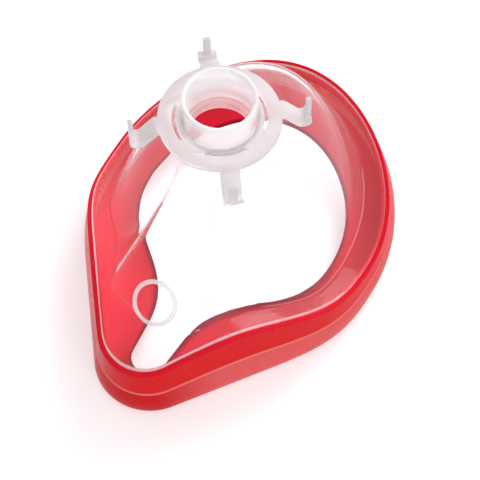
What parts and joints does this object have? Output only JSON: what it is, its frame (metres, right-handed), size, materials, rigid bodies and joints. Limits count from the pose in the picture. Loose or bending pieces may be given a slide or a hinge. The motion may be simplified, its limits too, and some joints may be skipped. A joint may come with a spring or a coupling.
{
  "type": "anesthesia face mask",
  "caption": "Clear domed anesthesia face mask with a round port, a push-fit ring of strap hooks and a soft red seal round the face opening.",
  "frame": {"origin": "on the port's axis, at the surface that the mask's seal lies on", "axes": "+Z out of the port along its axis, +Y towards the chin, -Y towards the bridge of the nose, X across the face"},
  "size_m": [0.1134, 0.1428, 0.104],
  "materials": {
    "clear_plastic": "clear and glossy",
    "frosted_plastic": "frosted, translucent",
    "soft_seal": "soft, satin, translucent red"
  },
  "bodies": {
    "root": {"shell": "clear_plastic", "hook_ring": "frosted_plastic", "cushion_seal": "soft_seal"}
  },
  "joints": []
}
